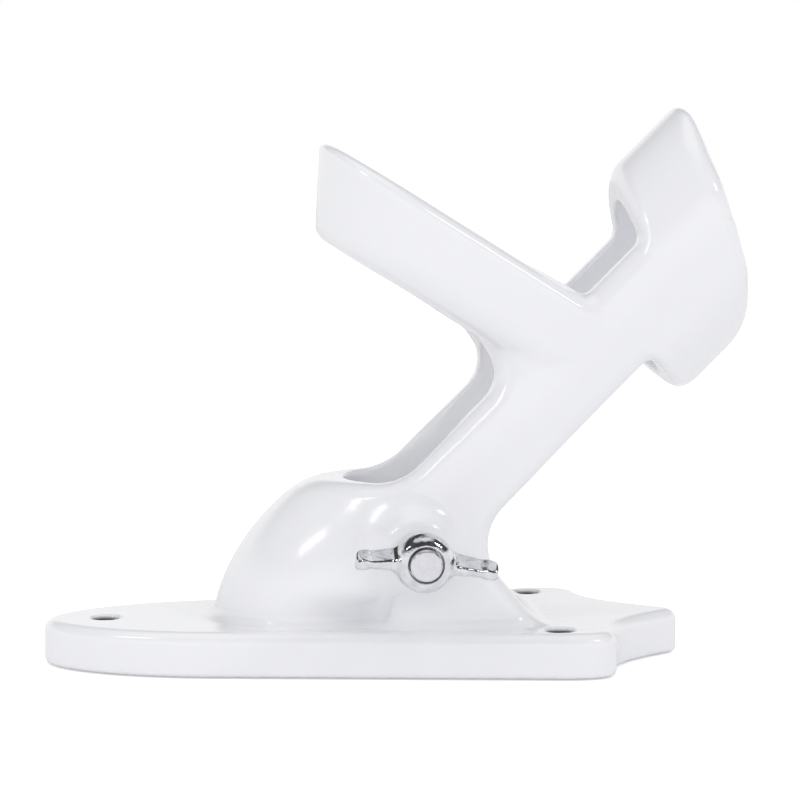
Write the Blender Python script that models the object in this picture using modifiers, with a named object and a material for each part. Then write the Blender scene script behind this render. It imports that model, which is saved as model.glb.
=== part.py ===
"""Two-position flagpole bracket: a white cast aluminium bracket with one shared socket at its foot,
an upright guide ring for a pole square to the wall plate, a 45 degree collar for a tilted pole, and
a plated wing screw that clamps whichever pole is in.

Frame: the wall plate lies flat on z = 0 with the sockets pointing up. x = y = 0 is the upright
socket's axis, +X points to the plate's scalloped end, and the screw enters from -Y. Units: metres.
"""

import math

import bmesh
import bpy
from mathutils import Matrix, Vector

MM = 0.001
SQUARE_ROOT_HALF = math.sqrt(0.5)

# The pole and the tube around it
BORE_RADIUS = 13.5 * MM
TUBE_RADIUS = 18.7 * MM
UPRIGHT_TUBE_RADIUS = 18.9 * MM
TUBE_SEGMENTS = 72

# Where the two socket axes cross, above the underside of the plate
CROSSING_HEIGHT = 27.6 * MM
TILT = math.radians(45)

# Wall plate
PLATE_THICKNESS = 8.0 * MM
PLATE_EDGE_RADIUS = 2.2 * MM
NOSE_X = -69.2 * MM
NOSE_WIDEN_X = -40.0 * MM
NOSE_HALF_WIDTH = 19.5 * MM
SHOULDER_X = 23.5 * MM
SHOULDER_HALF_WIDTH = 27.8 * MM
CORNER_X = 33.6 * MM
CORNER_HALF_WIDTH = 22.5 * MM
TIP_X = 48.7 * MM
TIP_HALF_WIDTH = 3.4 * MM
TIP_DEPTH = 2.3 * MM
PLATE_HALF_OUTLINE = [
    # place, handle before it, handle after it
    ((NOSE_X, 0), (NOSE_X, -8 * MM), (NOSE_X, 8 * MM)),
    ((NOSE_WIDEN_X, NOSE_HALF_WIDTH), (-57.4 * MM, 17.2 * MM), (-20 * MM, 22.1 * MM)),
    ((SHOULDER_X, SHOULDER_HALF_WIDTH), (5 * MM, 25.4 * MM), (30 * MM, 28.5 * MM)),
    ((CORNER_X, CORNER_HALF_WIDTH), (33.4 * MM, 26.5 * MM), (34 * MM, 13.5 * MM)),
    ((TIP_X - TIP_DEPTH, TIP_HALF_WIDTH), (41.5 * MM, 7.2 * MM), (TIP_X, 1.6 * MM)),
]
HOLE_RADIUS = 2.6 * MM
HOLE_LEAD_IN = 0.6 * MM
NOSE_HOLE_X = -58.0 * MM
PAIR_HOLE_X = 23.4 * MM
PAIR_HOLE_Y = 21.8 * MM

# The side outline: guide ring, collar, window rims and foot
RIM_ABOVE_AXIS = 7.9 * MM
RIM_BELOW_AXIS = 8.2 * MM
RING_SLOPE = math.radians(32)
RING_TOP_AT_AXIS = 85.8 * MM
RING_THICKNESS = 17.0 * MM
MOUTH_LEAN = math.radians(18.4)
MOUTH_X = 55.4 * MM
MOUTH_Z = 82.15 * MM
COLLAR_BACK_X = 38.7 * MM
COLLAR_BACK_Z = 78.7 * MM
COLLAR_LIP_ALONG_AXIS = 49.4 * MM
DOME_TOP = 34.0 * MM
DOME_RADIUS = 19.75 * MM
DOME_LENGTH = 29.3 * MM
DOME_WIDEST = 19.0 * MM
DOME_STEPS = 14
TILTED_TUBE_TOP = 105 * MM
FOOT_SLOPE = math.radians(50.2)
FOOT_TOE_X = 20.8 * MM
WAIST_RADIUS = 8.6 * MM
WINDOW_RADIUS = 8.5 * MM
COLLAR_TOP_RADIUS = 2.0 * MM
COLLAR_CORNER_RADIUS = 3.5 * MM
COLLAR_SHOULDER_RADIUS = 4.5 * MM
NOTCH_RADIUS = 1.0 * MM
RING_NOTCH_RADIUS = 1.5 * MM
RING_TOP_RADIUS = 3.0 * MM
RING_HEEL_RADIUS = 2.5 * MM
DOME_NOTCH_RADIUS = 3.0 * MM
OUTLINE_LEFT = -50 * MM
OUTLINE_HALF_DEPTH = 24 * MM

# Flat-sided web between the guide ring and the tilted tube
WEB_HALF_WIDTH = 18.3 * MM
WEB_END_ALONG_AXIS = 48.5 * MM
WEB_HEIGHT = 40 * MM

# Pedestal under the tilted tube, and the tapped boss on its side
PEDESTAL_LEFT = -8.0 * MM
PEDESTAL_RIGHT = 30.0 * MM
PEDESTAL_HALF_WIDTH = 18.3 * MM
PEDESTAL_BOTTOM = 3 * MM
PEDESTAL_TOP = 40 * MM
BURIED = 4.0 * MM
BOSS_RADIUS = 7.4 * MM
BOSS_FACE_Y = -22.5 * MM

# Clamp screw
SCREW_X = -2.2 * MM
SCREW_Z = 22.0 * MM
STUD_RADIUS = 2.85 * MM
STUD_INNER_Y = -14.0 * MM
STUD_OUTER_Y = -35.0 * MM
STUD_CHAMFER = 0.5 * MM
GAP = 0.3 * MM
HUB_RADIUS = 5.5 * MM
HUB_BASE_RADIUS = 4.6 * MM
HUB_FRONT_RADIUS = 4.6 * MM
HUB_WIDEST_FROM = 2.2 * MM
HUB_WIDEST_TO = 4.0 * MM
HUB_CHAMFER = 0.6 * MM
HUB_BASE_Y = -28.0 * MM
HUB_FRONT_Y = -34.6 * MM
WING_REACH = 12.6 * MM
WING_THICKNESS = 3.6 * MM
WING_OUTLINE = [
    # distance out from the screw's axis, distance forward from the hub's base, corner radius
    (3.6 * MM, 0.6 * MM, 0),
    (5.6 * MM, 0.8 * MM, 1.0 * MM),
    (WING_REACH, 5.4 * MM, 1.6 * MM),
    (WING_REACH, 9.4 * MM, 1.6 * MM),
    (11.6 * MM, 9.2 * MM, 1.0 * MM),
    (6.0 * MM, 5.6 * MM, 1.5 * MM),
    (3.6 * MM, 5.4 * MM, 0),
]
WING_TURN = math.radians(4)


def clear_scene():
    for obj in list(bpy.data.objects):
        bpy.data.objects.remove(obj, do_unlink=True)


def make_collection(name, hidden=False):
    collection = bpy.data.collections.new(name)
    collection.hide_render = hidden
    bpy.context.scene.collection.children.link(collection)
    return collection


def make_material(name, colour, roughness, metallic):
    material = bpy.data.materials.new(name)
    material.use_nodes = True
    shader = material.node_tree.nodes["Principled BSDF"]
    shader.inputs["Base Color"].default_value = (*colour, 1.0)
    shader.inputs["Roughness"].default_value = roughness
    shader.inputs["Metallic"].default_value = metallic
    return material


def object_from_bmesh(name, shape, collection):
    if shape.calc_volume(signed=True) < 0:
        bmesh.ops.reverse_faces(shape, faces=shape.faces)
    mesh = bpy.data.meshes.new(name)
    shape.to_mesh(mesh)
    shape.free()
    obj = bpy.data.objects.new(name, mesh)
    collection.objects.link(obj)
    return obj


def mesh_from_curve(curve_object):
    """The curve as a closed mesh object with the same name and place."""
    bpy.context.view_layer.update()
    evaluated = curve_object.evaluated_get(bpy.context.evaluated_depsgraph_get())
    mesh = bpy.data.meshes.new_from_object(evaluated)
    shape = bmesh.new()
    shape.from_mesh(mesh)
    bmesh.ops.remove_doubles(shape, verts=shape.verts, dist=1e-6)
    bmesh.ops.recalc_face_normals(shape, faces=shape.faces)
    shape.transform(curve_object.matrix_world)
    name = curve_object.name
    collection = curve_object.users_collection[0]
    bpy.data.objects.remove(curve_object, do_unlink=True)
    bpy.data.meshes.remove(mesh)
    return object_from_bmesh(name, shape, collection)


def outline_curve(name, collection, half_depth):
    curve = bpy.data.curves.new(name, "CURVE")
    curve.dimensions = "2D"
    curve.fill_mode = "BOTH"
    curve.extrude = half_depth
    obj = bpy.data.objects.new(name, curve)
    collection.objects.link(obj)
    return obj


def rounded_outline(corners, arc_steps=6):
    """Points of a polygon whose corners (x, y, radius) are rounded by arcs."""
    points = []
    for index, (x, y, radius) in enumerate(corners):
        here = Vector((x, y))
        before = (Vector(corners[index - 1][:2]) - here).normalized()
        after = (Vector(corners[(index + 1) % len(corners)][:2]) - here).normalized()
        if radius == 0:
            points.append(here)
            continue
        half_angle = before.angle(after) / 2
        centre = here + (before + after).normalized() * radius / math.sin(half_angle)
        start = here + before * radius / math.tan(half_angle) - centre
        end = here + after * radius / math.tan(half_angle) - centre
        sweep = start.angle_signed(end)
        for step in range(arc_steps + 1):
            points.append(centre + Matrix.Rotation(-sweep * step / arc_steps, 2) @ start)
    return points


def upright_prism(name, points, half_depth, collection):
    """A solid whose outline in the XZ plane is given, reaching half_depth either side of y = 0."""
    obj = outline_curve(name, collection, half_depth)
    spline = obj.data.splines.new("POLY")
    spline.points.add(len(points) - 1)
    for target, point in zip(spline.points, points):
        target.co = (point[0], point[1], 0, 1)
    spline.use_cyclic_u = True
    obj.rotation_euler = (math.radians(90), 0, 0)
    return mesh_from_curve(obj)


def cylinder(
    name, radius, start, end, collection, segments=TUBE_SEGMENTS, end_radius=None, twist=0.0
):
    """A closed cylinder or cone from start to end, its facets turned by twist about its axis."""
    start = Vector(start)
    along = Vector(end) - start
    shape = bmesh.new()
    bmesh.ops.create_cone(
        shape,
        cap_ends=True,
        segments=segments,
        radius1=radius,
        radius2=radius if end_radius is None else end_radius,
        depth=along.length,
    )
    turn = along.to_track_quat("Z", "Y").to_matrix().to_4x4()
    facets = Matrix.Rotation(twist, 4, "Z")
    shape.transform(Matrix.Translation(start + along / 2) @ turn @ facets)
    return object_from_bmesh(name, shape, collection)


def turned(name, profile, collection, segments=TUBE_SEGMENTS):
    """A solid of revolution about local Z, from (radius, height) points running top to bottom."""
    mesh = bpy.data.meshes.new(name)
    vertices = [(radius, 0, height) for radius, height in profile]
    edges = [(index, index + 1) for index in range(len(profile) - 1)]
    mesh.from_pydata(vertices, edges, [])
    obj = bpy.data.objects.new(name, mesh)
    collection.objects.link(obj)
    screw = obj.modifiers.new("turn", "SCREW")
    screw.steps = segments
    screw.render_steps = segments
    screw.use_merge_vertices = True
    screw.merge_threshold = 0.00001
    return obj


def boolean(target, operation, tool):
    modifier = target.modifiers.new(operation.lower() + "_" + tool.name, "BOOLEAN")
    modifier.operation = operation
    modifier.object = tool
    modifier.solver = "EXACT"


def hide_tool(tool):
    tool.hide_render = True
    tool.display_type = "WIRE"


def on_tilted_axis(along, above=0.0, y=0.0):
    """The point at a distance along the tilted axis from the crossing, and above it."""
    x = (along - above) * SQUARE_ROOT_HALF
    z = CROSSING_HEIGHT + (along + above) * SQUARE_ROOT_HALF
    return Vector((x, y, z))


def crossing_of(point_a, angle_a, point_b, angle_b):
    """Where two lines in the XZ plane cross, each given by a point and its angle above +X."""
    along_a = Vector((math.cos(angle_a), math.sin(angle_a)))
    along_b = Vector((math.cos(angle_b), math.sin(angle_b)))
    apart = Vector(point_b) - Vector(point_a)
    distance = apart.cross(along_b) / along_a.cross(along_b)
    return Vector(point_a) + along_a * distance


def side_outline():
    """The bracket's outline seen from the side, without the plate."""

    def beside_axis(above):
        point = on_tilted_axis(0, above)
        return (point.x, point.z)

    ring_top = (0, RING_TOP_AT_AXIS)
    ring_bottom = (0, RING_TOP_AT_AXIS - RING_THICKNESS / math.cos(RING_SLOPE))
    mouth = (MOUTH_X, MOUTH_Z)
    mouth_angle = math.radians(90) + MOUTH_LEAN
    back = (COLLAR_BACK_X, COLLAR_BACK_Z)
    tube_top = beside_axis(TUBE_RADIUS)
    tube_bottom = beside_axis(-TUBE_RADIUS)
    rim_top = beside_axis(RIM_ABOVE_AXIS)
    rim_bottom = beside_axis(-RIM_BELOW_AXIS)
    lip = on_tilted_axis(COLLAR_LIP_ALONG_AXIS)
    across = TILT + math.radians(90)
    toe = (FOOT_TOE_X, PLATE_THICKNESS)
    upright_side = (-UPRIGHT_TUBE_RADIUS, 0)

    corners = [
        (crossing_of(tube_top, TILT, mouth, mouth_angle), COLLAR_TOP_RADIUS),
        (crossing_of(tube_bottom, TILT, mouth, mouth_angle), COLLAR_CORNER_RADIUS),
        (crossing_of(tube_bottom, TILT, (lip.x, lip.z), across), COLLAR_CORNER_RADIUS),
        (crossing_of(rim_bottom, TILT, (lip.x, lip.z), across), NOTCH_RADIUS),
        (crossing_of(rim_bottom, TILT, toe, -FOOT_SLOPE), WAIST_RADIUS),
        (crossing_of(toe, -FOOT_SLOPE, (0, BURIED), 0), 0),
        (Vector((OUTLINE_LEFT, BURIED)), 0),
        (Vector((OUTLINE_LEFT, DOME_TOP)), 0),
        (crossing_of((0, DOME_TOP), 0, rim_top, TILT), DOME_NOTCH_RADIUS),
        (crossing_of(rim_top, TILT, ring_bottom, -RING_SLOPE), WINDOW_RADIUS),
        (crossing_of(upright_side, math.radians(90), ring_bottom, -RING_SLOPE), RING_HEEL_RADIUS),
        (crossing_of(upright_side, math.radians(90), ring_top, -RING_SLOPE), RING_TOP_RADIUS),
        (crossing_of(ring_top, -RING_SLOPE, rim_top, TILT), RING_NOTCH_RADIUS),
        (crossing_of(rim_top, TILT, back, mouth_angle), NOTCH_RADIUS),
        (crossing_of(tube_top, TILT, back, mouth_angle), COLLAR_SHOULDER_RADIUS),
    ]
    return rounded_outline([(point[0], point[1], radius) for point, radius in corners])


def tilted_tube(collection):
    """The tilted tube's outside, ending in a dome that stands on the plate."""
    start = -math.acos(TUBE_RADIUS / DOME_RADIUS)
    profile = [(0, TILTED_TUBE_TOP), (TUBE_RADIUS, TILTED_TUBE_TOP)]
    for step in range(DOME_STEPS + 1):
        angle = start + (math.radians(90) - start) * step / DOME_STEPS
        radius = DOME_RADIUS * math.cos(angle)
        height = -DOME_WIDEST - DOME_LENGTH * math.sin(angle)
        profile.append((radius if step < DOME_STEPS else 0, height))
    tube = turned("tilted_tube", profile, collection)
    tube.location = (0, 0, CROSSING_HEIGHT)
    tube.rotation_euler = (0, TILT, 0)
    return tube


def pedestal(collection):
    """The block under the tilted tube. Its top left side lies on the tilted axis."""
    corners = [
        (PEDESTAL_LEFT, PEDESTAL_BOTTOM),
        (PEDESTAL_RIGHT, PEDESTAL_BOTTOM),
        (PEDESTAL_RIGHT, PEDESTAL_TOP),
        (PEDESTAL_TOP - CROSSING_HEIGHT, PEDESTAL_TOP),
        (PEDESTAL_LEFT, CROSSING_HEIGHT + PEDESTAL_LEFT),
    ]
    return upright_prism("pedestal", corners, PEDESTAL_HALF_WIDTH, collection)


def web(collection):
    """The flat-sided metal that carries the guide ring on to the tilted tube."""
    end = on_tilted_axis(WEB_END_ALONG_AXIS)
    far_end = on_tilted_axis(WEB_END_ALONG_AXIS, WEB_HEIGHT)
    corners = [
        (0, CROSSING_HEIGHT),
        (end.x, end.z),
        (far_end.x, far_end.z),
        (0, far_end.z),
    ]
    return upright_prism("web", corners, WEB_HALF_WIDTH, collection)


def plate(collection):
    """The wall plate: a rounded nose, straight flaring sides, and scallops that meet in a tip."""
    curve = outline_curve("plate", collection, PLATE_THICKNESS / 2)
    mirrored = [
        ((x, -y), (after[0], -after[1]), (before[0], -before[1]))
        for (x, y), before, after in reversed(PLATE_HALF_OUTLINE[1:])
    ]
    outline = PLATE_HALF_OUTLINE + mirrored
    spline = curve.data.splines.new("BEZIER")
    spline.bezier_points.add(len(outline) - 1)
    spline.use_cyclic_u = True
    curve.data.resolution_u = 9
    for target, (place, before, after) in zip(spline.bezier_points, outline):
        target.handle_left_type = "FREE"
        target.handle_right_type = "FREE"
        target.co = (*place, 0)
        target.handle_left = (*before, 0)
        target.handle_right = (*after, 0)
    curve.location = (0, 0, PLATE_THICKNESS / 2)
    solid = mesh_from_curve(curve)
    round_top_edge(solid)
    return solid


def round_top_edge(solid):
    shape = bmesh.new()
    shape.from_mesh(solid.data)
    bmesh.ops.dissolve_limit(shape, angle_limit=math.radians(1), verts=shape.verts, edges=shape.edges)
    top_edges = [
        edge
        for edge in shape.edges
        if all(vertex.co.z > PLATE_THICKNESS - 0.01 * MM for vertex in edge.verts)
        and len(edge.link_faces) == 2
        and any(abs(face.normal.z) < 0.5 for face in edge.link_faces)
    ]
    bmesh.ops.bevel(
        shape,
        geom=top_edges,
        offset=PLATE_EDGE_RADIUS,
        segments=4,
        profile=0.5,
        affect="EDGES",
        clamp_overlap=True,
    )
    shape.to_mesh(solid.data)
    shape.free()


def bores(tools):
    """The two sockets. Both stop at the plate's top face."""
    floor = PLATE_THICKNESS + GAP
    far = 120 * MM
    upright = cylinder("upright_bore", BORE_RADIUS, (0, 0, floor), (0, 0, far), tools)
    lowest = (floor - CROSSING_HEIGHT) / SQUARE_ROOT_HALF + BORE_RADIUS
    # Half a facet of twist keeps the two bores' edges from meeting in the same points.
    tilted = cylinder(
        "tilted_bore",
        BORE_RADIUS,
        on_tilted_axis(lowest),
        on_tilted_axis(far),
        tools,
        twist=math.pi / TUBE_SEGMENTS,
    )
    return [upright, tilted]


def screw_holes(tools):
    made = []
    places = [(NOSE_HOLE_X, 0), (PAIR_HOLE_X, PAIR_HOLE_Y), (PAIR_HOLE_X, -PAIR_HOLE_Y)]
    reach = 2 * MM
    for number, (x, y) in enumerate(places, 1):
        name = f"screw_hole_{number}"
        through = cylinder(name, HOLE_RADIUS, (x, y, -reach), (x, y, 12 * MM), tools, 32)
        lead_in = cylinder(
            f"lead_in_{number}",
            HOLE_RADIUS,
            (x, y, PLATE_THICKNESS - HOLE_LEAD_IN),
            (x, y, PLATE_THICKNESS + HOLE_LEAD_IN),
            tools,
            32,
            HOLE_RADIUS + 2 * HOLE_LEAD_IN,
        )
        made += [through, lead_in]
    return made


def bracket_casting(parts, tools, material):
    """The casting: side outline crossed with the tubes, on the plate, with its bores cut."""
    casting = upright_prism("bracket_casting", side_outline(), OUTLINE_HALF_DEPTH, parts)
    outside = cylinder(
        "upright_tube", UPRIGHT_TUBE_RADIUS, (0, 0, BURIED / 2), (0, 0, 110 * MM), tools
    )
    tilted = tilted_tube(tools)
    block = pedestal(tools)
    flat_web = web(tools)
    boolean(outside, "UNION", tilted)
    boolean(outside, "UNION", block)
    boolean(outside, "UNION", flat_web)
    boolean(casting, "INTERSECT", outside)
    base = plate(tools)
    boss_root = (SCREW_X, -10 * MM, SCREW_Z)
    boss_face = (SCREW_X, BOSS_FACE_Y, SCREW_Z)
    boss = cylinder("boss", BOSS_RADIUS, boss_root, boss_face, tools, 48)
    boolean(casting, "UNION", base)
    boolean(casting, "UNION", boss)
    tapped = cylinder(
        "tapped_hole",
        STUD_RADIUS + GAP,
        (SCREW_X, -5 * MM, SCREW_Z),
        (SCREW_X, BOSS_FACE_Y - 5 * MM, SCREW_Z),
        tools,
        32,
    )
    cutters = bores(tools) + screw_holes(tools) + [tapped]
    for cutter in cutters:
        boolean(casting, "DIFFERENCE", cutter)
    for tool in [outside, tilted, block, flat_web, base, boss] + cutters:
        hide_tool(tool)
    casting.data.materials.append(material)
    return casting


def clamp_stud(parts, material):
    """The clamp screw's threaded stud, with its origin on the screw's axis."""
    length = STUD_INNER_Y - STUD_OUTER_Y
    chamfered = STUD_RADIUS - STUD_CHAMFER
    profile = [
        (0, length),
        (chamfered, length),
        (STUD_RADIUS, length - STUD_CHAMFER),
        (STUD_RADIUS, STUD_CHAMFER),
        (chamfered, 0),
        (0, 0),
    ]
    stud = turned("clamp_stud", profile, parts, 32)
    stud.location = (SCREW_X, STUD_OUTER_Y, SCREW_Z)
    stud.rotation_euler = (math.radians(-90), 0, 0)
    stud.data.materials.append(material)
    return stud


def wing(name, side, tools):
    """One wing, swept outwards and forwards from the hub's base to a rounded tip."""
    points = [(side * point.x, point.y) for point in rounded_outline(WING_OUTLINE, 4)]
    return upright_prism(name, points, WING_THICKNESS / 2, tools)


def wing_head(parts, tools, material):
    """The wing head, built upright on its base and then laid on the screw's axis."""
    height = HUB_BASE_Y - HUB_FRONT_Y
    inner = STUD_RADIUS + GAP
    profile = [
        (inner, height),
        (HUB_FRONT_RADIUS - HUB_CHAMFER, height),
        (HUB_FRONT_RADIUS, height - HUB_CHAMFER),
        (HUB_RADIUS, HUB_WIDEST_TO),
        (HUB_RADIUS, HUB_WIDEST_FROM),
        (HUB_BASE_RADIUS, 0),
        (inner, 0),
        (inner, height),
    ]
    head = turned("wing_head", profile, parts, 48)
    wings = [wing("wing_right", 1, tools), wing("wing_left", -1, tools)]
    for leaf in wings:
        boolean(head, "UNION", leaf)
    bore = cylinder("hub_bore", inner, (0, 0, -height), (0, 0, 3 * height), tools, 48)
    boolean(head, "DIFFERENCE", bore)
    place = Matrix.Translation((SCREW_X, HUB_BASE_Y, SCREW_Z))
    turn = Matrix.Rotation(WING_TURN, 4, "Y")
    lay_down = Matrix.Rotation(math.radians(90), 4, "X")
    for piece in [head, bore] + wings:
        piece.matrix_world = place @ turn @ lay_down
    for tool in [bore] + wings:
        hide_tool(tool)
    head.data.materials.append(material)
    return head


def build():
    clear_scene()
    parts = make_collection("flagpole_bracket")
    tools = make_collection("cutters", hidden=True)
    paint = make_material("white_paint", (0.84, 0.84, 0.86), 0.22, 0.0)
    plating = make_material("bright_zinc", (0.78, 0.79, 0.80), 0.16, 1.0)
    bracket_casting(parts, tools, paint)
    clamp_stud(parts, plating)
    wing_head(parts, tools, plating)


build()
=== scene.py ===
"""Looks of the two-position flagpole bracket: a smooth painted casting and a bright plated wing screw.

The casting and the wing head are worked out as solid fields: plain shapes joined and cut with rounded
edges, the way a pattern maker builds up a casting. The surface of each field becomes the mesh. Fields
work in millimetres and the meshes are in metres, both in the part's own frame.
"""

import math

import bpy
import numpy as np
from mathutils import Matrix, Vector


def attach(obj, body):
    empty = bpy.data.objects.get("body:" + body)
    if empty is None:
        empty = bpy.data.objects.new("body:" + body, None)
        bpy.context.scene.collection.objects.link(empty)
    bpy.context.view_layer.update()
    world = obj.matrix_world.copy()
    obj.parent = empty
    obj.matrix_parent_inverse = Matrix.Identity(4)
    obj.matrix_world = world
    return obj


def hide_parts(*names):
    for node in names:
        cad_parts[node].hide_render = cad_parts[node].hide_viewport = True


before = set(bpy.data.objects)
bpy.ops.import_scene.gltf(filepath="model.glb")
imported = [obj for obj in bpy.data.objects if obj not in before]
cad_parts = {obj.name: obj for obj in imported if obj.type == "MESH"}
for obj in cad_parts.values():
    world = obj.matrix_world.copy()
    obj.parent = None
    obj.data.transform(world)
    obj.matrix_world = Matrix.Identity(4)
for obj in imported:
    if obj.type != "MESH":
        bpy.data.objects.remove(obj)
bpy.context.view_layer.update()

MM = 0.001
ROOT_HALF = math.sqrt(0.5)

# Sockets and tubes, in millimetres
BORE_RADIUS = 13.5
TUBE_RADIUS = 18.7
CROSSING_HEIGHT = 27.6
DOME_RADIUS = 19.75
DOME_LENGTH = 29.3
DOME_WIDEST = 19.0
TUBE_END_ALONG_AXIS = -12.0
TUBE_TO_DOME = 0.6
SOCKET_FLOOR_ALONG_AXIS = -13.8
SOCKET_CROSSING_EDGE = 0.8
SOCKET_FLOOR_EDGE = 1.5

# Side outline, in millimetres and degrees
RIM_ABOVE_AXIS = 7.8
RIM_BELOW_AXIS = 8.1
RING_SLOPE = math.tan(math.radians(32.0))
RING_TOP_AT_AXIS = 85.6
RING_BOTTOM_AT_AXIS = 65.6
RING_DRAFT = 0.05
MOUTH_LEAN = math.radians(17.2)
MOUTH = (55.5, 82.15)
COLLAR_BACK = (38.8, 78.7)
COLLAR_LIP_ALONG_AXIS = 49.4
COLLAR_UNDERSIDE_DRAFT = 1.0
DOME_TOP = 33.7
FOOT_SLOPE = math.radians(50.2)
FOOT_TOE = (20.6, 8.0)
WAIST_RADIUS = 8.6
WINDOW_RADIUS = 8.5
RING_NOTCH_RADIUS = 1.5
DOME_NOTCH_RADIUS = 3.0
COLLAR_SHOULDER_RADIUS = 1.6

# How far the side outline's edges are rounded, in millimetres
UPPER_EDGE = 2.4
UNDER_EDGE = 3.2
DOME_RIM_EDGE = 2.4
COLLAR_TOP_EDGE = 2.6
COLLAR_FLANK_LESS = 0.4
COLLAR_MOUTH_MORE = 2.4
COLLAR_UNDER_MORE = 2.2
COLLAR_LIP_EDGE = 4.4
COLLAR_LIP_FLANK_LESS = 3.2

# How far the guide ring's own edges are rounded, in millimetres
RING_TOP_EDGE = 3.4
RING_TIP_LESS = 0.6
RING_HEEL_EDGE = 2.0
RING_FLANK_MORE = 1.4
RING_WINDOW_MORE = 2.8

# Wall plate, in millimetres
PLATE_THICKNESS = 8.0
PLATE_EDGE_RADIUS = 2.2
PLATE_BOTTOM_EDGE = 0.8
SOCKET_FLOOR = PLATE_THICKNESS + 0.3
HOLE_RADIUS = 2.6
HOLE_EDGE = 0.6
HOLE_CUT_TOP = 15.0
SCREW_HOLES = ((-58.0, 0.0), (23.4, 21.8), (23.4, -21.8))

# Pedestal and boss, in millimetres
BODY_BOTTOM = 3.0
PEDESTAL_LEFT = -8.0
PEDESTAL_CORNER = 5.0
GROOVE_START = (-27.0, 22.5)
GROOVE_END = (-8.0, 18.2)
GROOVE_HEIGHT = 9.0
GROOVE_RADIUS = 4.2
GROOVE_EDGE = 3.0
BOSS_RADIUS = 6.3
BOSS_DRAFT = 0.45
BOSS_FACE_Y = -22.4
BOSS_EDGE = 2.0
BOSS_ROOT_Y = -10.0
SCREW_X = -2.2
SCREW_Z = 22.0
TAPPED_RADIUS = 3.1
TAPPED_END_Y = -5.0
TAPPED_EDGE = 0.5

# Fillets of the painted casting, in millimetres
SHARP = 0.05
RING_TO_TUBE = 1.5
BORE_EDGE = 1.0
BODY_TO_PLATE = 2.3
BOSS_FILLET = 2.6
VALLEY_FILLET = 5.0

# Wing screw, in millimetres
STUD_RADIUS = 2.85
STUD_INNER_Y = -14.0
STUD_OUTER_Y = -35.2
THREAD_PITCH = 1.27
THREAD_DEPTH = 0.5
THREAD_END_Y = -29.5
STUD_CHAMFER = 0.35
STUD_END_CROWN = 0.12
STUD_POINTS_AROUND = 72
HUB_BASE_Y = -28.0
HUB_FRONT_Y = -34.6
HUB_RADIUS = 5.35
HUB_WIDEST = 3.0
HUB_SWELL = 0.075
HUB_FRONT_EDGE = 1.4
HUB_BACK_EDGE = 0.5
HEAD_GAP = 0.3
HEAD_BORE_EDGE = 0.35
WING_REACH = 12.6
WING_TURN = math.radians(5.5)
WING_ROOT = 5.6
WING_BACK = 0.8
WING_BACK_SWEEP = 0.66
WING_FRONT = 5.5
WING_FRONT_SWEEP = 0.56
WING_HALF_THICKNESS = 2.0
WING_TAPER = 0.09
WING_TIP_RADIUS = 2.4
WING_FRONT_EDGE = 0.45
WING_EDGE = 0.7
WING_ROOT_FILLET = 1.1
KNOB_HEIGHT = 0.3
KNOB_START = WING_REACH - 3.2
KNOB_FULL = WING_REACH - 1.6
FACET_START = 1.6

# Light of the studio's walls and overhead, and what reflections see: a dark band, then a bright ceiling
WALL_LIGHT = 0.61
SKY_LIGHT = 0.86
SKY_SPAN = (0.1, 0.8)
DARK_BAND = 0.06
DARK_SPAN = (0.30, 0.48)
CEILING_LIGHT = 0.8
CEILING_SPAN = (0.86, 0.95)

# Floor, in metres
FLOOR_RADIUS = 6.0
FLOOR_HEIGHT = -0.0003

# Fineness of the meshes, in millimetres, and the boxes that hold the two fields
CASTING_STEP = 0.6
WING_STEP = 0.17
STUD_STEP = 0.09
CASTING_BOX = ((-71, -30, -2), (65, 30, 104))
WING_BOX = ((-15, HUB_FRONT_Y - 5, -7), (15, HUB_BASE_Y + 1, 7))

# How points settle on a surface: the least slope that is trusted, the longest move as a share of a step,
# and how far of the way they slide when they are evened out
LEAST_STEEPNESS = 0.05
LONGEST_MOVE = 0.5
EVEN_SHARE = 0.6


# ---------------------------------------------------------------- fields


def round_join(first, second, radius):
    """Both solids together, with a fillet of this radius where they meet."""
    toward_first = np.maximum(radius - first, 0)
    toward_second = np.maximum(radius - second, 0)
    return np.maximum(radius, np.minimum(first, second)) - np.hypot(toward_first, toward_second)


def round_common(first, second, radius):
    """Where the solids overlap, with its new edges rounded to this radius."""
    past_first = np.maximum(radius + first, 0)
    past_second = np.maximum(radius + second, 0)
    return np.minimum(-radius, np.maximum(first, second)) + np.hypot(past_first, past_second)


def round_cut(solid, cutter, radius):
    """The solid less the cutter, with the cut's edges rounded to this radius."""
    return round_common(solid, -cutter, radius)


def leaning_side(x, z, point, lean):
    """Distance past a plane through point that leans back from upright by this angle."""
    return (x - point[0]) * math.cos(lean) + (z - point[1]) * math.sin(lean)


def fade(value, start, end):
    """Goes smoothly from 0 at start to 1 at end."""
    share = np.clip((value - start) / (end - start), 0, 1)
    return share * share * (3 - 2 * share)


def blend(share, full, none):
    """Goes from none to full as the share goes from 0 to 1."""
    return share * full + (1 - share) * none


def ring_planes(x, z):
    """Distances past the guide ring's upper and lower sloping planes."""
    slope_length = math.hypot(1, RING_SLOPE)
    past_top = (z + RING_SLOPE * x - RING_TOP_AT_AXIS) / slope_length
    past_bottom = (RING_BOTTOM_AT_AXIS - z - RING_SLOPE * x) / slope_length
    return past_top, past_bottom


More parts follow.
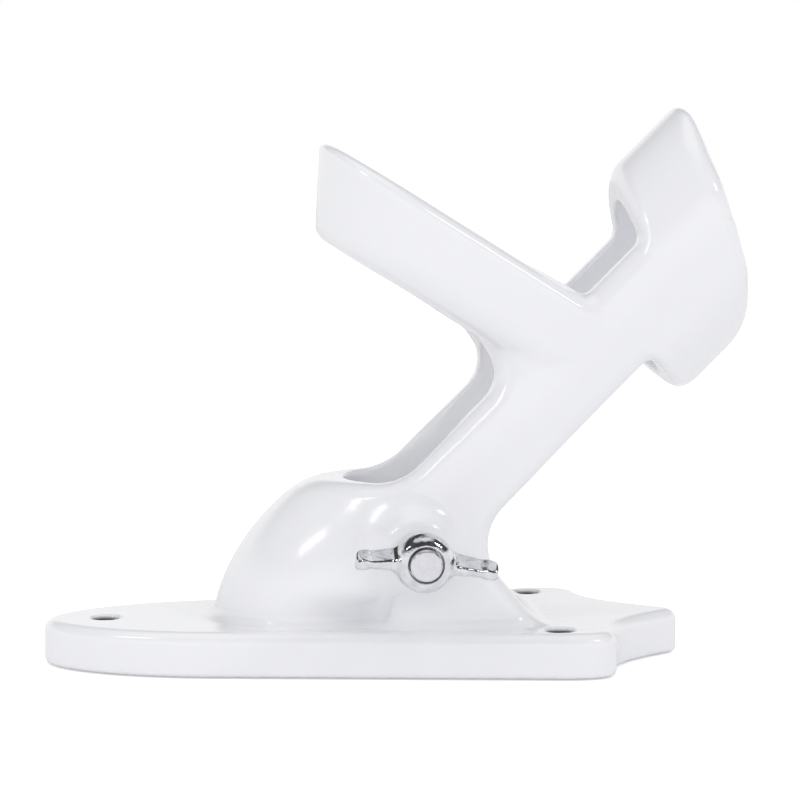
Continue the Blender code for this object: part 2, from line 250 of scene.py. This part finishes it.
def side_outline(x, z, above, along):
    """The bracket's outline seen from the side, without the plate."""
    past_top, past_bottom = ring_planes(x, z)
    under_rim = above - RIM_ABOVE_AXIS
    over_lower_rim = -above - RIM_BELOW_AXIS
    with_window = round_join(under_rim, past_bottom, WINDOW_RADIUS)
    with_notch = round_join(under_rim, past_top, RING_NOTCH_RADIUS)
    upper = np.maximum(with_window, with_notch)
    upper = round_join(upper, z - DOME_TOP, DOME_NOTCH_RADIUS)
    foot = leaning_side(x, z, FOOT_TOE, math.radians(90) - FOOT_SLOPE)
    lower = round_join(over_lower_rim, foot, WAIST_RADIUS)
    body = np.maximum(upper, lower)
    collar_back = -leaning_side(x, z, COLLAR_BACK, MOUTH_LEAN)
    lip = np.maximum(above, COLLAR_LIP_ALONG_AXIS - along)
    collar = np.minimum(collar_back, lip)
    mouth = leaning_side(x, z, MOUTH, MOUTH_LEAN)
    return np.maximum(round_join(body, collar, COLLAR_SHOULDER_RADIUS), mouth)


def outline_edge(y, z, above, along):
    """How far the side outline's edges are rounded: more on the flanks than at the corners."""
    flank = fade(np.abs(y), 5, 13)
    upper = fade(above, 4, 10)
    in_collar = fade(along, 46, 52)
    at_lip = fade(-above, 4, 8) * (1 - fade(along, 54, 58))
    lower = fade(-above, 8, 14)
    at_mouth = fade(along, 68, 76)
    collar_top = COLLAR_TOP_EDGE + (COLLAR_MOUTH_MORE * at_mouth - COLLAR_FLANK_LESS) * flank
    collar = blend(upper, collar_top, UNDER_EDGE + COLLAR_UNDER_MORE * lower)
    collar = blend(at_lip, COLLAR_LIP_EDGE - COLLAR_LIP_FLANK_LESS * flank, collar)
    radius = blend(in_collar, collar, blend(upper, UPPER_EDGE, UNDER_EDGE))
    on_dome = (1 - fade(z, 38, 46)) * fade(z, 24, 30)
    return blend(on_dome, DOME_RIM_EDGE, radius)


def tilted_body(above, along, y):
    """The tilted tube, swelling into the dome that stands on the plate."""
    from_axis = np.hypot(above, y)
    slimmer = COLLAR_UNDERSIDE_DRAFT * fade(-above, 8, 16) * fade(along, 44, 50)
    tube = from_axis - TUBE_RADIUS + slimmer
    past_widest = np.minimum(along + DOME_WIDEST, 0) / DOME_LENGTH
    short_of_widest = np.maximum(along + DOME_WIDEST, 0) / DOME_LENGTH
    reach = np.sqrt(past_widest**2 + short_of_widest**2 + (from_axis / DOME_RADIUS) ** 2)
    dome = (reach - 1) * DOME_RADIUS
    return round_join(tube + np.maximum(TUBE_END_ALONG_AXIS - along, 0), dome, TUBE_TO_DOME)


def ring_and_web(x, y, z, above):
    """The upright tube, flat-sided between the two axes, cut by the guide ring's two planes."""
    past_top, past_bottom = ring_planes(x, z)
    draft = RING_DRAFT * (RING_TOP_AT_AXIS - z) * fade(-x, 4, 18)
    tube = np.hypot(np.minimum(x, 0), y) - TUBE_RADIUS - draft
    flank = fade(np.abs(y), 4, 14)
    ring = round_common(tube, past_top, RING_TOP_EDGE - RING_TIP_LESS * fade(-x, 7, 16))
    heel = RING_HEEL_EDGE + (RING_FLANK_MORE + RING_WINDOW_MORE * fade(x, -16, 0)) * flank
    ring = round_common(ring, past_bottom, heel)
    return np.maximum(ring, -above)


def pedestal(x, y, above, along):
    """The flat-sided block between the plate and the tilted tube, turning round towards the collar."""
    beyond = above * fade(along, 2, 28)
    sides = np.hypot(beyond, y) - TUBE_RADIUS
    return np.maximum(round_common(PEDESTAL_LEFT - x, sides, PEDESTAL_CORNER), above)


def belly_groove(x, y, z):
    """The hollow on each side where the dome's belly turns under, just above the plate."""
    share = np.clip((x - GROOVE_START[0]) / (GROOVE_END[0] - GROOVE_START[0]), 0, 1)
    across = np.abs(y) - GROOVE_START[1] - share * (GROOVE_END[1] - GROOVE_START[1])
    up = z - GROOVE_HEIGHT
    past_ends = np.maximum(GROOVE_START[0] - x, 0)
    return np.sqrt(across**2 + up**2 + past_ends**2) - GROOVE_RADIUS


class PlateOutline:
    """Distance to the wall plate's outline, worked out once on a fine grid and read smoothly from it."""

    cell = 0.25
    low = (-74.0, -33.0)
    high = (54.0, 33.0)

    def __init__(self):
        x = np.arange(self.low[0], self.high[0], self.cell)
        y = np.arange(self.low[1], self.high[1], self.cell)
        grid_x, grid_y = np.meshgrid(x, y, indexing="ij")
        self.grid = self.exact(grid_x.ravel(), grid_y.ravel()).reshape(grid_x.shape)

    @staticmethod
    def outline(steps=60):
        """The nose, the flaring side, the shoulder, the scallop and the tip, then their mirror image."""
        half = (
            # place, the curve's handle before it, and after it
            ((-69.2, 0.0), None, (-69.2, 8.0)),
            ((-40.0, 19.5), (-57.4, 17.2), (-20.0, 22.1)),
            ((23.5, 27.8), (5.0, 25.4), (30.0, 28.5)),
            ((33.6, 22.5), (33.4, 26.5), (34.0, 13.5)),
            ((46.4, 3.4), (41.5, 7.2), (48.1, 2.1)),
            ((48.7, 0.0), (48.7, 1.1), None),
        )
        share = np.linspace(0, 1, steps, endpoint=False)[:, None]
        rest = 1 - share
        pieces = []
        for first, second in zip(half[:-1], half[1:]):
            start, leave = np.array(first[0]), np.array(first[2])
            arrive, end = np.array(second[1]), np.array(second[0])
            start_part = rest**3 * start + 3 * share * rest**2 * leave
            end_part = 3 * share**2 * rest * arrive + share**3 * end
            pieces.append(start_part + end_part)
        side = np.concatenate(pieces + [np.array([half[-1][0]])])
        return np.concatenate([side, side[-2:0:-1] * (1, -1)])

    def exact(self, x, y):
        """Distance to the outline by going through its short straight pieces, below zero inside."""
        result = np.full(len(x), np.inf)
        crossings = np.zeros(len(x), int)
        starts = self.outline()
        for start, end in zip(starts, np.roll(starts, -1, axis=0)):
            span = end - start
            to_x = x - start[0]
            to_y = y - start[1]
            share = np.clip((to_x * span[0] + to_y * span[1]) / (span @ span), 0, 1)
            result = np.minimum(result, (to_x - share * span[0]) ** 2 + (to_y - share * span[1]) ** 2)
            beside = to_x * span[1] - to_y * span[0]
            crossings += (to_y >= 0) & (to_y < span[1]) & (beside > 0)
            crossings -= (to_y < 0) & (to_y >= span[1]) & (beside < 0)
        return np.where(crossings != 0, -1, 1) * np.sqrt(result)

    @staticmethod
    def weights(share):
        """The four weights that pass a smooth curve through four neighbouring values."""
        return (
            share * (share * (2 - share) - 1) / 2,
            (share**2 * (3 * share - 5) + 2) / 2,
            share * (share * (4 - 3 * share) + 1) / 2,
            share**2 * (share - 1) / 2,
        )

    def __call__(self, x, y):
        column = np.clip((x - self.low[0]) / self.cell, 1, self.grid.shape[0] - 3.001)
        row = np.clip((y - self.low[1]) / self.cell, 1, self.grid.shape[1] - 3.001)
        i = column.astype(int)
        j = row.astype(int)
        across = self.weights(column - i)
        down = self.weights(row - j)
        total = 0
        for a in range(4):
            for b in range(4):
                total = total + across[a] * down[b] * self.grid[i + a - 1, j + b - 1]
        return total


plate_outline = PlateOutline()


def casting_field(x, y, z):
    """Below zero inside the casting. x, y and z are arrays that broadcast together."""
    above = (z - CROSSING_HEIGHT - x) * ROOT_HALF
    along = (z - CROSSING_HEIGHT + x) * ROOT_HALF
    upright = np.hypot(x, y)
    screw = np.hypot(x - SCREW_X, z - SCREW_Z)

    tilted = round_cut(tilted_body(above, along, y), belly_groove(x, y, z), GROOVE_EDGE)
    ring_fillet = SHARP + RING_TO_TUBE * fade(above, 2, 7)
    tubes = round_join(tilted, ring_and_web(x, y, z, above), ring_fillet)
    at_belly = fade(-above, 1, 5) * fade(-x, 5.5, 9)
    valley = SHARP + VALLEY_FILLET * np.maximum(fade(-above, 3, 12), at_belly)
    outside = round_join(tubes, pedestal(x, y, above, along), valley)
    body = round_common(outside, side_outline(x, z, above, along), outline_edge(y, z, above, along))
    body = np.maximum(body, BODY_BOTTOM - z)

    plate = round_common(plate_outline(x, y), z - PLATE_THICKNESS, PLATE_EDGE_RADIUS)
    plate = round_common(plate, -z, PLATE_BOTTOM_EDGE)
    solid = round_join(body, plate, BODY_TO_PLATE)

    draft = BOSS_DRAFT * (y - BOSS_FACE_Y)
    boss = round_common(screw - BOSS_RADIUS - draft, BOSS_FACE_Y - y, BOSS_EDGE)
    boss = np.maximum(boss, y - BOSS_ROOT_Y)
    solid = round_join(solid, boss, BOSS_FILLET)

    socket = round_common(upright - BORE_RADIUS, SOCKET_FLOOR - z, SOCKET_FLOOR_EDGE)
    tilted_socket = np.maximum(np.hypot(above, y) - BORE_RADIUS, SOCKET_FLOOR_ALONG_AXIS - along)
    solid = round_cut(solid, round_join(socket, tilted_socket, SOCKET_CROSSING_EDGE), BORE_EDGE)

    tapped = np.maximum(screw - TAPPED_RADIUS, y - TAPPED_END_Y)
    solid = round_cut(solid, tapped, TAPPED_EDGE)
    for hole_x, hole_y in SCREW_HOLES:
        hole = np.hypot(x - hole_x, y - hole_y) - HOLE_RADIUS
        solid = round_cut(solid, np.maximum(hole, z - HOLE_CUT_TOP), HOLE_EDGE)
    return solid


def wing_field(x, y, z):
    """Below zero inside the wing head. The head is upright on its axis; the wings reach along x."""
    from_axis = np.hypot(x, z)
    out = HUB_BASE_Y - y
    height = HUB_BASE_Y - HUB_FRONT_Y
    swell = HUB_SWELL * (np.clip(out, 0, height) - HUB_WIDEST) ** 2
    # The factor keeps the field about as steep as a distance on the hub's curved side.
    hub = (from_axis - HUB_RADIUS + swell) * 0.95
    hub = round_common(hub, out - height, HUB_FRONT_EDGE)
    hub = round_common(hub, -out, HUB_BACK_EDGE)

    reach = np.abs(x)
    beyond_root = np.maximum(reach - WING_ROOT, 0)
    back = WING_BACK + WING_BACK_SWEEP * beyond_root
    front = WING_FRONT + WING_FRONT_SWEEP * beyond_root
    knob = KNOB_HEIGHT * fade(reach, KNOB_START, KNOB_FULL)
    half = WING_HALF_THICKNESS - WING_TAPER * beyond_root + knob
    # Towards the front, the top face slants down and the bottom face up a little.
    facet = np.maximum(out - back - FACET_START, 0)
    top = (z - half) * 0.84 + 0.54 * facet
    bottom = (-z - half) * 0.97 + 0.25 * facet
    blade = round_common(top, out - front, WING_FRONT_EDGE)
    blade = round_common(blade, np.maximum(bottom, back - out), WING_EDGE)
    past_tip = np.maximum(reach - (WING_REACH - WING_TIP_RADIUS), 0)
    tip = np.hypot(past_tip, out - (back + front) / 2) - WING_TIP_RADIUS
    blade = round_common(blade, tip, WING_EDGE)
    head = round_join(hub, blade, WING_ROOT_FILLET)

    bore = from_axis - STUD_RADIUS - HEAD_GAP
    return round_cut(head, bore, HEAD_BORE_EDGE)


# ---------------------------------------------------------------- surface of a field


CELL_CORNERS = [(i, j, k) for i in (0, 1) for j in (0, 1) for k in (0, 1)]
CELL_EDGES = [
    (first, second)
    for first in range(8)
    for second in range(first + 1, 8)
    if sum(a != b for a, b in zip(CELL_CORNERS[first], CELL_CORNERS[second])) == 1
]


def slope_of(field, points, reach=0.004):
    """The field's value and gradient at each point."""
    value = field(*points.T)
    gradient = np.empty_like(points)
    for axis in range(3):
        ahead = points.copy()
        ahead[:, axis] += reach
        gradient[:, axis] = (field(*ahead.T) - value) / reach
    return value, gradient


def settle(field, points, step, rounds=3):
    """Moves each point on to the field's zero surface."""
    for _ in range(rounds):
        value, gradient = slope_of(field, points)
        steepness = np.maximum((gradient**2).sum(1), LEAST_STEEPNESS)
        move = gradient * (value / steepness)[:, None]
        length = np.linalg.norm(move, axis=1)
        move *= np.minimum(1, LONGEST_MOVE * step / np.maximum(length, 1e-9))[:, None]
        points = points - move
    return points


def even_out(field, points, quads, step, rounds=2):
    """Slides the points along the surface towards the middle of their neighbours."""
    edges = np.concatenate([quads[:, [0, 1]], quads[:, [1, 2]], quads[:, [2, 3]], quads[:, [3, 0]]])
    ends = np.concatenate([edges, edges[:, ::-1]])
    count = np.bincount(ends[:, 0], minlength=len(points))
    for _ in range(rounds):
        middle = np.empty_like(points)
        for axis in range(3):
            total = np.bincount(ends[:, 0], points[ends[:, 1], axis], len(points))
            middle[:, axis] = total / count
        _, gradient = slope_of(field, points)
        normal = gradient / np.maximum(np.linalg.norm(gradient, axis=1), 1e-9)[:, None]
        move = middle - points
        move -= normal * (move * normal).sum(1)[:, None]
        points = settle(field, points + EVEN_SHARE * move, step, 1)
    return points


def surface_of(field, low, high, step):
    """Points and quads of the field's zero surface inside the box, by the surface nets method.

    Each cell has one point, so where two sheets of the surface pass through one cell they share it. The
    mesh stays closed there, but an edge may belong to more than two faces.
    """
    axes = [np.arange(a, b + step, step) for a, b in zip(low, high)]
    sizes = [len(axis) for axis in axes]
    x = axes[0][:, None, None]
    y = axes[1][None, :, None]
    z = axes[2][None, None, :]
    values = np.broadcast_to(field(x, y, z), sizes).astype(np.float32)
    inside = values < 0
    cells = np.zeros([size - 1 for size in sizes], np.int8)
    for i, j, k in CELL_CORNERS:
        cells += inside[i : sizes[0] - 1 + i, j : sizes[1] - 1 + j, k : sizes[2] - 1 + k]
    mixed = np.argwhere((cells > 0) & (cells < 8))
    number = np.full(cells.shape, -1, np.int32)
    number[tuple(mixed.T)] = np.arange(len(mixed))

    corner_values = np.stack([values[tuple((mixed + corner).T)] for corner in CELL_CORNERS])
    total = np.zeros((len(mixed), 3))
    count = np.zeros(len(mixed))
    for first, second in CELL_EDGES:
        start = corner_values[first]
        end = corner_values[second]
        crossed = (start < 0) != (end < 0)
        share = np.where(crossed, start / np.where(crossed, start - end, 1), 0)
        place = np.array(CELL_CORNERS[first]) * (1 - share[:, None])
        place = place + np.array(CELL_CORNERS[second]) * share[:, None]
        total += place * crossed[:, None]
        count += crossed
    points = np.array(low) + step * (mixed + total / count[:, None])

    quads = []
    for axis in range(3):
        ahead = np.roll(inside, -1, axis)
        crossed = inside != ahead
        keep = [slice(1, -1)] * 3
        keep[axis] = slice(0, -1)
        mask = np.zeros_like(crossed)
        mask[tuple(keep)] = crossed[tuple(keep)]
        where = np.argwhere(mask)
        side = np.eye(3, dtype=int)
        across = side[(axis + 1) % 3]
        up = side[(axis + 2) % 3]
        ring = [where - across - up, where - up, where, where - across]
        quad = np.stack([number[tuple(cell.T)] for cell in ring], axis=1)
        outward = inside[tuple(where.T)]
        quad[~outward] = quad[~outward][:, ::-1]
        quads.append(quad)
    quads = np.concatenate(quads)
    points = settle(field, points, step)
    points = even_out(field, points, quads, step)
    return settle(field, points, step, 2), quads


# ---------------------------------------------------------------- meshes


def mesh_object(name, points, faces, normals=None):
    """A smooth-shaded object from an array of points in metres and a list of faces."""
    mesh = bpy.data.meshes.new(name)
    mesh.from_pydata(points.tolist(), [], faces)
    mesh.validate()
    mesh.shade_smooth()
    if normals is not None:
        mesh.normals_split_custom_set_from_vertices(normals.tolist())
    made = bpy.data.objects.new(name, mesh)
    bpy.context.scene.collection.objects.link(made)
    return made


def field_object(name, field, box, step, place=lambda points: points, turn=lambda rows: rows):
    """The surface of a field as an object; place and turn carry it from its own axes to the part's."""
    points, quads = surface_of(field, *box, step)
    _, gradient = slope_of(field, points)
    normals = gradient / np.maximum(np.linalg.norm(gradient, axis=1), 1e-9)[:, None]
    return mesh_object(name, place(points) * MM, quads.tolist(), turn(normals))


def mark_painted_hole_shade(made):
    """Marks the points down in the screw holes, where the paint is turned near black as painted shade for
    the shadow inside them.
    """
    rows = np.empty(3 * len(made.data.vertices))
    made.data.vertices.foreach_get("co", rows)
    x, y, z = rows.reshape(-1, 3).T / MM
    # Painted shade mask: 1 down in each hole, fading in just below the plate's top face.
    painted_hole_shade = np.zeros(len(x))
    for hole_x, hole_y in SCREW_HOLES:
        inside = np.hypot(x - hole_x, y - hole_y) < HOLE_RADIUS + 0.7
        painted_hole_shade = np.maximum(painted_hole_shade, inside * fade(PLATE_THICKNESS - z, 0.3, 0.9))
    made.data.attributes.new("painted_hole_shade", "FLOAT", "POINT").data.foreach_set("value", painted_hole_shade)


def make_casting():
    made = field_object("casting", casting_field, CASTING_BOX, CASTING_STEP)
    mark_painted_hole_shade(made)
    return made


def make_wing_head():
    cosine = math.cos(WING_TURN)
    sine = math.sin(WING_TURN)
    # A small clockwise turn, seen from outside.
    matrix = np.array([[cosine, 0, sine], [0, 1, 0], [-sine, 0, cosine]])
    axis = np.array([SCREW_X, 0, SCREW_Z])
    return field_object(
        "wing_head_plated",
        wing_field,
        WING_BOX,
        WING_STEP,
        lambda points: points @ matrix.T + axis,
        lambda normals: normals @ matrix.T,
    )


def thread_radius(y, turn):
    """The stud's radius at a place along it and around it: a flat-topped V thread, then a plain end."""
    phase = (y / THREAD_PITCH + turn) % 1.0
    ridge = np.clip(1.35 * (1 - np.abs(2 * phase - 1)) - 0.1, 0, 1)
    threaded = np.clip(y - THREAD_END_Y, 0, 1)
    radius = STUD_RADIUS - THREAD_DEPTH * threaded * (1 - ridge)
    chamfered = STUD_RADIUS - STUD_CHAMFER + np.clip(y - STUD_OUTER_Y, 0, STUD_CHAMFER)
    return np.minimum(radius, chamfered)


def make_stud():
    """The threaded stud: rings of points along the axis, with a crowned outer end and a flat inner one."""
    around = STUD_POINTS_AROUND
    rows = int((STUD_INNER_Y - STUD_OUTER_Y) / STUD_STEP)
    y = np.linspace(STUD_OUTER_Y, STUD_INNER_Y, rows)
    turn = np.arange(around) / around
    radius = thread_radius(y[:, None], turn[None, :])
    cap_shares = (0.45, 0.8, 0.95)
    rings = [(radius[0] * share, STUD_OUTER_Y - STUD_END_CROWN * (1 - share**2)) for share in cap_shares]
    rings += zip(radius, y)
    rings += [(radius[-1] * share, STUD_INNER_Y) for share in reversed(cap_shares)]
    points = [(SCREW_X, STUD_OUTER_Y - STUD_END_CROWN, SCREW_Z)]
    for ring_radius, ring_y in rings:
        ring_x = SCREW_X + ring_radius * np.cos(2 * math.pi * turn)
        ring_z = SCREW_Z + ring_radius * np.sin(2 * math.pi * turn)
        points.extend(zip(ring_x, [ring_y] * around, ring_z))
    points.append((SCREW_X, STUD_INNER_Y, SCREW_Z))
    faces = []
    for step in range(around):
        following = (step + 1) % around
        faces.append((0, 1 + step, 1 + following))
        for ring in range(len(rings) - 1):
            here = 1 + ring * around
            faces.append((here + step, here + around + step, here + around + following, here + following))
        last = 1 + (len(rings) - 1) * around
        faces.append((len(points) - 1, last + following, last + step))
    return mesh_object("stud_threaded", np.array(points) * MM, faces)


# ---------------------------------------------------------------- materials


def new_material(name):
    material = bpy.data.materials.new(name)
    material.use_nodes = True
    nodes = material.node_tree.nodes
    return material, nodes, material.node_tree.links, nodes["Principled BSDF"]


def noise(nodes, links, where, per_metre, detail=3.0, roughness=0.5):
    node = nodes.new("ShaderNodeTexNoise")
    node.inputs["Scale"].default_value = per_metre
    node.inputs["Detail"].default_value = detail
    node.inputs["Roughness"].default_value = roughness
    links.new(where, node.inputs["Vector"])
    return node.outputs["Fac"]


def ramp(nodes, links, value, low, high, start=0.3, end=0.7):
    """Maps a value from start..end to low..high."""
    node = nodes.new("ShaderNodeMapRange")
    node.inputs["From Min"].default_value = start
    node.inputs["From Max"].default_value = end
    node.inputs["To Min"].default_value = low
    node.inputs["To Max"].default_value = high
    links.new(value, node.inputs["Value"])
    return node.outputs["Result"]


def mix_colours(nodes, links, share, first, second):
    node = nodes.new("ShaderNodeMix")
    node.data_type = "RGBA"
    links.new(share, node.inputs[0])
    for socket, colour in ((node.inputs[6], first), (node.inputs[7], second)):
        if isinstance(colour, tuple):
            socket.default_value = (*colour, 1)
        else:
            links.new(colour, socket)
    return node.outputs[2]


def bump(nodes, links, height, distance, strength=1.0, before=None):
    node = nodes.new("ShaderNodeBump")
    node.inputs["Strength"].default_value = strength
    node.inputs["Distance"].default_value = distance
    links.new(height, node.inputs["Height"])
    if before is not None:
        links.new(before, node.inputs["Normal"])
    return node.outputs["Normal"]


def object_position(nodes):
    return nodes.new("ShaderNodeTexCoord").outputs["Object"]


def powder_coat():
    """Gloss white powder coat: orange peel, faint waves of the casting, a slightly cool tint, and painted
    shade inside the screw holes.
    """
    material, nodes, links, shader = new_material("white_powder_coat")
    where = object_position(nodes)
    tint = ramp(nodes, links, noise(nodes, links, where, 45, 2), 0, 1)
    paint = mix_colours(nodes, links, tint, (0.873, 0.876, 0.906), (0.887, 0.890, 0.918))
    # Painted shade: down in the screw holes the paint turns near black, standing in for the shadow there.
    painted_hole_shade = nodes.new("ShaderNodeAttribute")
    painted_hole_shade.attribute_name = "painted_hole_shade"
    colour = mix_colours(nodes, links, painted_hole_shade.outputs["Fac"], paint, (0.02, 0.02, 0.022))
    links.new(colour, shader.inputs["Base Color"])
    patches = noise(nodes, links, where, 260, 4, 0.6)
    links.new(ramp(nodes, links, patches, 0.16, 0.25), shader.inputs["Roughness"])
    shader.inputs["IOR"].default_value = 1.5
    shader.inputs["Coat Weight"].default_value = 0.35
    shader.inputs["Coat Roughness"].default_value = 0.06
    waves = bump(nodes, links, noise(nodes, links, where, 110, 2), 0.00025, 0.5)
    peel = bump(nodes, links, noise(nodes, links, where, 900, 2), 0.00003, 0.6, waves)
    links.new(peel, shader.inputs["Normal"])
    return material


def bright_plating():
    """Bright plating of the wing head: soft ripples, faint polishing marks, small dull patches."""
    material, nodes, links, shader = new_material("bright_plating")
    where = object_position(nodes)
    shader.inputs["Metallic"].default_value = 1.0
    stain = ramp(nodes, links, noise(nodes, links, where, 500, 4, 0.6), 0, 1, 0.35, 0.75)
    colour = mix_colours(nodes, links, stain, (0.80, 0.81, 0.83), (0.60, 0.61, 0.65))
    links.new(colour, shader.inputs["Base Color"])
    dull = noise(nodes, links, where, 1400, 4, 0.65)
    links.new(ramp(nodes, links, dull, 0.05, 0.18), shader.inputs["Roughness"])
    ripple = bump(nodes, links, noise(nodes, links, where, 420, 3), 0.00035, 0.55)
    marks = bump(nodes, links, noise(nodes, links, where, 4200, 2), 0.00002, 0.5, ripple)
    links.new(marks, shader.inputs["Normal"])
    return material


def plated_thread():
    """Duller plating of the stud, with fine turning marks."""
    material, nodes, links, shader = new_material("plated_thread")
    where = object_position(nodes)
    shader.inputs["Metallic"].default_value = 1.0
    stain = ramp(nodes, links, noise(nodes, links, where, 900, 3), 0, 1)
    colour = mix_colours(nodes, links, stain, (0.72, 0.72, 0.76), (0.80, 0.80, 0.84))
    links.new(colour, shader.inputs["Base Color"])
    dull = noise(nodes, links, where, 2500, 3)
    links.new(ramp(nodes, links, dull, 0.26, 0.42), shader.inputs["Roughness"])
    marks = bump(nodes, links, noise(nodes, links, where, 5200, 2), 0.00003, 0.5)
    links.new(marks, shader.inputs["Normal"])
    return material


def floor_paper():
    """Plain pale paper under the part. It glows faintly, and more to the camera, so that it looks white."""
    material, nodes, links, shader = new_material("floor_paper")
    where = object_position(nodes)
    fibre = ramp(nodes, links, noise(nodes, links, where, 300, 3), 0, 1)
    colour = mix_colours(nodes, links, fibre, (0.93, 0.93, 0.935), (0.945, 0.945, 0.95))
    links.new(colour, shader.inputs["Base Color"])
    shader.inputs["Roughness"].default_value = 0.8
    shader.inputs["Specular IOR Level"].default_value = 0.1
    shader.inputs["Emission Color"].default_value = (1, 1, 1, 1)
    rays = nodes.new("ShaderNodeLightPath")
    glow = ramp(nodes, links, rays.outputs["Is Camera Ray"], 0.06, 0.35, 0, 1)
    links.new(glow, shader.inputs["Emission Strength"])
    return material


# ---------------------------------------------------------------- stage


def make_floor():
    bpy.ops.mesh.primitive_circle_add(
        vertices=96, radius=FLOOR_RADIUS, fill_type="NGON", location=(0, 0, FLOOR_HEIGHT)
    )
    floor = bpy.context.object
    floor.name = "floor"
    floor.data.materials.append(floor_paper())


def soft_box(name, location, target, width, height, power, roll=0.0, glossy=True):
    data = bpy.data.lights.new(name, "AREA")
    data.shape = "RECTANGLE"
    data.size = width
    data.size_y = height
    data.energy = power
    light = bpy.data.objects.new(name, data)
    light.location = location
    light.visible_glossy = glossy
    aim = (Vector(target) - Vector(location)).to_track_quat("-Z", "Y").to_matrix()
    light.rotation_euler = (aim @ Matrix.Rotation(roll, 3, "Z")).to_euler()
    bpy.context.scene.collection.objects.link(light)


def make_world():
    """A white studio, brighter overhead. Reflections see a dark band between the walls and the ceiling."""
    world = bpy.data.worlds.new("studio")
    bpy.context.scene.world = world
    world.use_nodes = True
    nodes = world.node_tree.nodes
    links = world.node_tree.links
    background = nodes["Background"]
    background.inputs["Color"].default_value = (1, 1, 1, 1)
    split = nodes.new("ShaderNodeSeparateXYZ")
    links.new(nodes.new("ShaderNodeTexCoord").outputs["Generated"], split.inputs[0])
    height = split.outputs["Z"]
    dark_band = ramp(nodes, links, height, 1.0, DARK_BAND, *DARK_SPAN)
    overhead = ramp(nodes, links, height, 0.0, CEILING_LIGHT, *CEILING_SPAN)
    reflected = nodes.new("ShaderNodeMath")
    reflected.operation = "ADD"
    links.new(dark_band, reflected.inputs[0])
    links.new(overhead, reflected.inputs[1])
    rays = nodes.new("ShaderNodeLightPath")
    glossy = nodes.new("ShaderNodeMix")
    links.new(rays.outputs["Is Glossy Ray"], glossy.inputs["Factor"])
    links.new(ramp(nodes, links, height, WALL_LIGHT, SKY_LIGHT, *SKY_SPAN), glossy.inputs["A"])
    links.new(reflected.outputs[0], glossy.inputs["B"])
    seen = nodes.new("ShaderNodeMix")
    links.new(rays.outputs["Is Camera Ray"], seen.inputs["Factor"])
    links.new(glossy.outputs["Result"], seen.inputs["A"])
    seen.inputs["B"].default_value = 1.0
    links.new(seen.outputs["Result"], background.inputs["Strength"])


def make_lights():
    """Two soft boxes that draw the highlights, and a broad fill from the camera's side."""
    part = (0.0, 0.0, 0.045)
    dome = (-0.02, -0.012, 0.03)
    left = (-0.245, -0.155, 0.255)
    right = (0.53, -0.45, 0.65)
    front = (-0.2, -2.2, 0.55)
    soft_box("left_box", left, dome, width=0.055, height=0.10, power=0.10, roll=math.radians(-40))
    soft_box("right_box", right, part, width=0.16, height=0.16, power=0.7)
    soft_box("front_fill", front, part, width=2.4, height=0.9, power=5.6, glossy=False)


def make_camera():
    data = bpy.data.cameras.new("camera")
    data.lens = 135
    data.sensor_width = 36
    data.clip_start = 0.01
    camera = bpy.data.objects.new("camera", data)
    place = Vector((-0.0587, -0.5502, 0.1015))
    look_at = Vector((-0.0034, 0, 0.04776))
    camera.location = place
    camera.rotation_euler = (look_at - place).to_track_quat("-Z", "Y").to_euler()
    bpy.context.scene.collection.objects.link(camera)
    bpy.context.scene.camera = camera


# ---------------------------------------------------------------- build


def dress(piece, body, node, material):
    piece.data.materials.append(material)
    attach(piece, body)
    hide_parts(node)


dress(make_casting(), "bracket", "bracket_casting", powder_coat())
dress(make_stud(), "stud", "clamp_stud", plated_thread())
dress(make_wing_head(), "wing", "wing_head", bright_plating())
make_floor()
make_world()
make_lights()
make_camera()
bpy.context.scene.view_settings.view_transform = "Standard"
